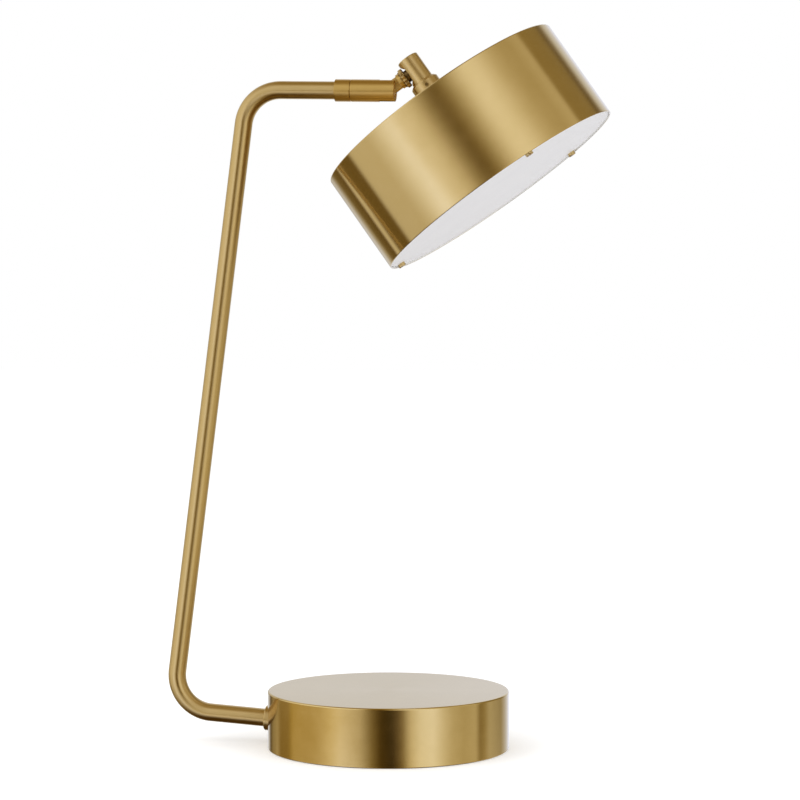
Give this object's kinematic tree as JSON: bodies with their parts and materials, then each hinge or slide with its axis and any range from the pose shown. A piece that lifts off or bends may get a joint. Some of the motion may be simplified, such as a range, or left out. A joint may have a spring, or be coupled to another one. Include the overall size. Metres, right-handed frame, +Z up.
{
  "type": "table lamp",
  "caption": "Brass table lamp: a drum shade hangs from a swivelling, tilting joint at the top of a bent tube that leans up from the side of a round weighted base.",
  "frame": {"origin": "centre of the round base, on the table top", "axes": "+Z up. +X is the way the arm points at the top of the stem, so the stem and the arm lie in the XZ plane and the shade is over the base's +X side. The cord inlet faces +Y."},
  "size_m": [0.3092, 0.1832, 0.4957],
  "materials": {
    "satin_brass": "satin, finely brushed and lacquered",
    "turned_brass": "as turned",
    "iron": "as cast",
    "steel": "zinc plated",
    "pad": "matt foam rubber",
    "black_plastic": "matt",
    "pale_plastic": "matt",
    "brake": "fibre",
    "lead": "smooth sheath",
    "heat_sink": "as sheared",
    "board": "white solder mask on an aluminium core",
    "emitter": "phosphor and silicone",
    "diffuser": "opal, glossy"
  },
  "bodies": {
    "stand": {"base_shell": "satin_brass", "base_weight": "iron", "base_plate": "steel", "foot_pad": "pad", "plate_screws": "steel", "centre_bolt": "steel", "cord_bushing": "black_plastic", "terminal_block": "pale_plastic", "led_driver": "pale_plastic", "driver_screws": "steel", "stem_tube": "satin_brass", "stem_lead": "lead", "stem_flange": "satin_brass", "stem_nipple": "turned_brass", "stem_washer": "turned_brass", "stem_nut": "turned_brass", "lead_bushing": "black_plastic", "swivel_collar": "satin_brass", "swivel_stop_pin": "steel", "swivel_spindle": "turned_brass", "disc_spring": "steel"},
    "swivel": {"friction_washer": "brake", "swivel_bush": "turned_brass", "swivel_barrel": "satin_brass", "tilt_pin": "steel", "tilt_washers": "brake"},
    "head": {"knuckle": "satin_brass", "star_washer": "steel", "lock_disc": "satin_brass", "neck": "satin_brass", "neck_collar": "satin_brass", "collar_grub_screw": "steel", "shade_drum": "satin_brass", "shade_nipple": "turned_brass", "shade_washer": "turned_brass", "shade_nut": "turned_brass", "led_plate": "heat_sink", "led_board": "board", "led_emitters": "emitter", "board_screws": "steel", "board_connector": "pale_plastic", "head_lead": "lead", "diffuser": "diffuser", "diffuser_brackets": "heat_sink", "diffuser_screws": "satin_brass"}
  },
  "joints": [
    {"name": "swivel_roll", "type": "hinge", "parent": "stand", "child": "swivel", "pos_m": [-0.00026, 0, 0.45362], "axis": [0.9997, 0, -0.0227], "range_deg": [-155, 155]},
    {"name": "head_tilt", "type": "hinge", "parent": "swivel", "child": "head", "pos_m": [-0.00026, 0, 0.45362], "axis": [0, 1, 0], "range_deg": [-50, 50]}
  ]
}
